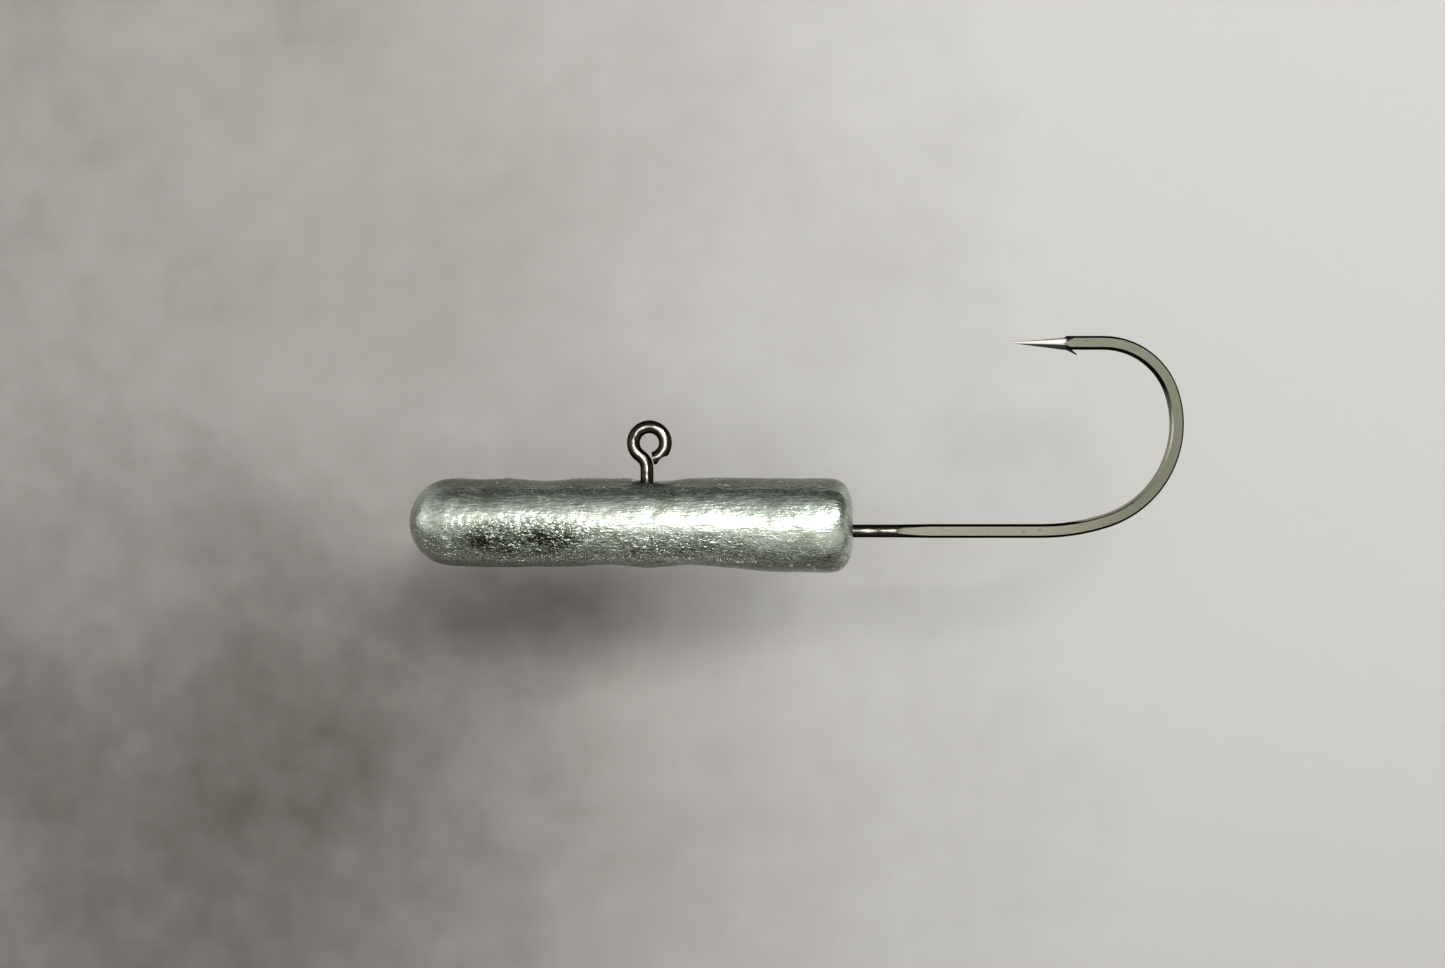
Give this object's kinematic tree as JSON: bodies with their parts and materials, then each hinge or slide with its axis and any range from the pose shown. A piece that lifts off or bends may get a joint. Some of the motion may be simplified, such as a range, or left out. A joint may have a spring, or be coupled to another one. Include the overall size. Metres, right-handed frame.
{
  "type": "jig head",
  "caption": "Cylindrical cast lead jig head with a rounded nose, moulded onto a barbed wire hook whose closed line eye stands up from the lead's top.",
  "frame": {"origin": "centre of the line eye", "axes": "+X from the lead's nose towards the bend of the hook, +Z towards the eye and the point, the hook lies in y = 0"},
  "size_m": [0.0537, 0.0066, 0.0164],
  "materials": {
    "cast_lead": "bare as-cast lead, silver grey, semi-bright, pitted and scratched",
    "hook_wire": "dark nickel-plated steel wire, polished on the round, satin on the forged flats"
  },
  "bodies": {
    "root": {"lead_head": "cast_lead", "jig_hook": "hook_wire"}
  },
  "joints": []
}
